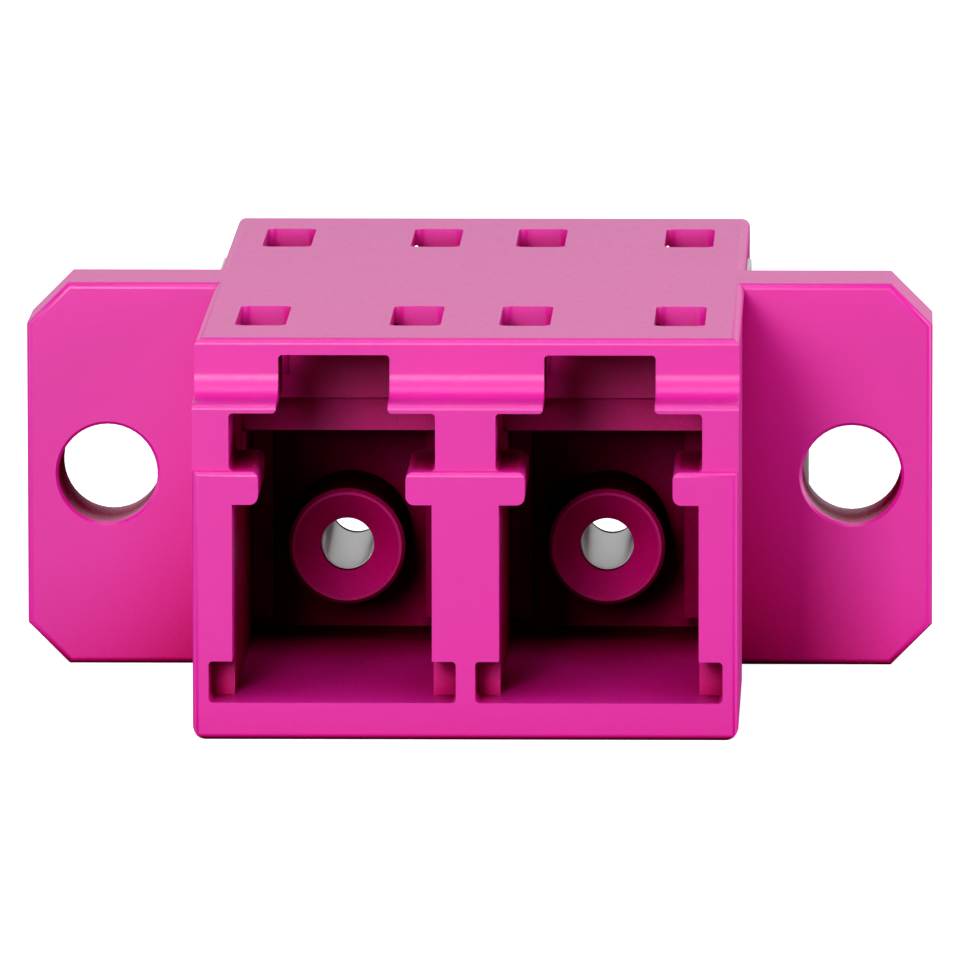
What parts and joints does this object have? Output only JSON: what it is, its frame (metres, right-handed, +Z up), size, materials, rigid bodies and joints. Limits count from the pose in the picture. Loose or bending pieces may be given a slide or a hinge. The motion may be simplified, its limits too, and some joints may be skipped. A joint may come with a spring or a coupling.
{
  "type": "lc fibre adapter",
  "caption": "LC fibre-optic adapter: flanged moulded body with plug ports at both ends, latch windows on top, split ceramic sleeves inside and a spring panel clip behind the flange.",
  "frame": {"origin": "centre of the bottom face, on the weld plane between the two moulded halves", "axes": "+Z up, -Y towards the front ports, X across the two ports and the flange's screw holes"},
  "size_m": [0.022, 0.028, 0.0093],
  "materials": {
    "housing": "satin moulded, violet-pink",
    "sleeve": "ground white zirconia ceramic",
    "clip": "plain spring steel strip"
  },
  "bodies": {
    "root": {"front_housing": "housing", "rear_housing": "housing", "sleeve_left": "sleeve", "sleeve_right": "sleeve", "panel_clip": "clip"}
  },
  "joints": []
}
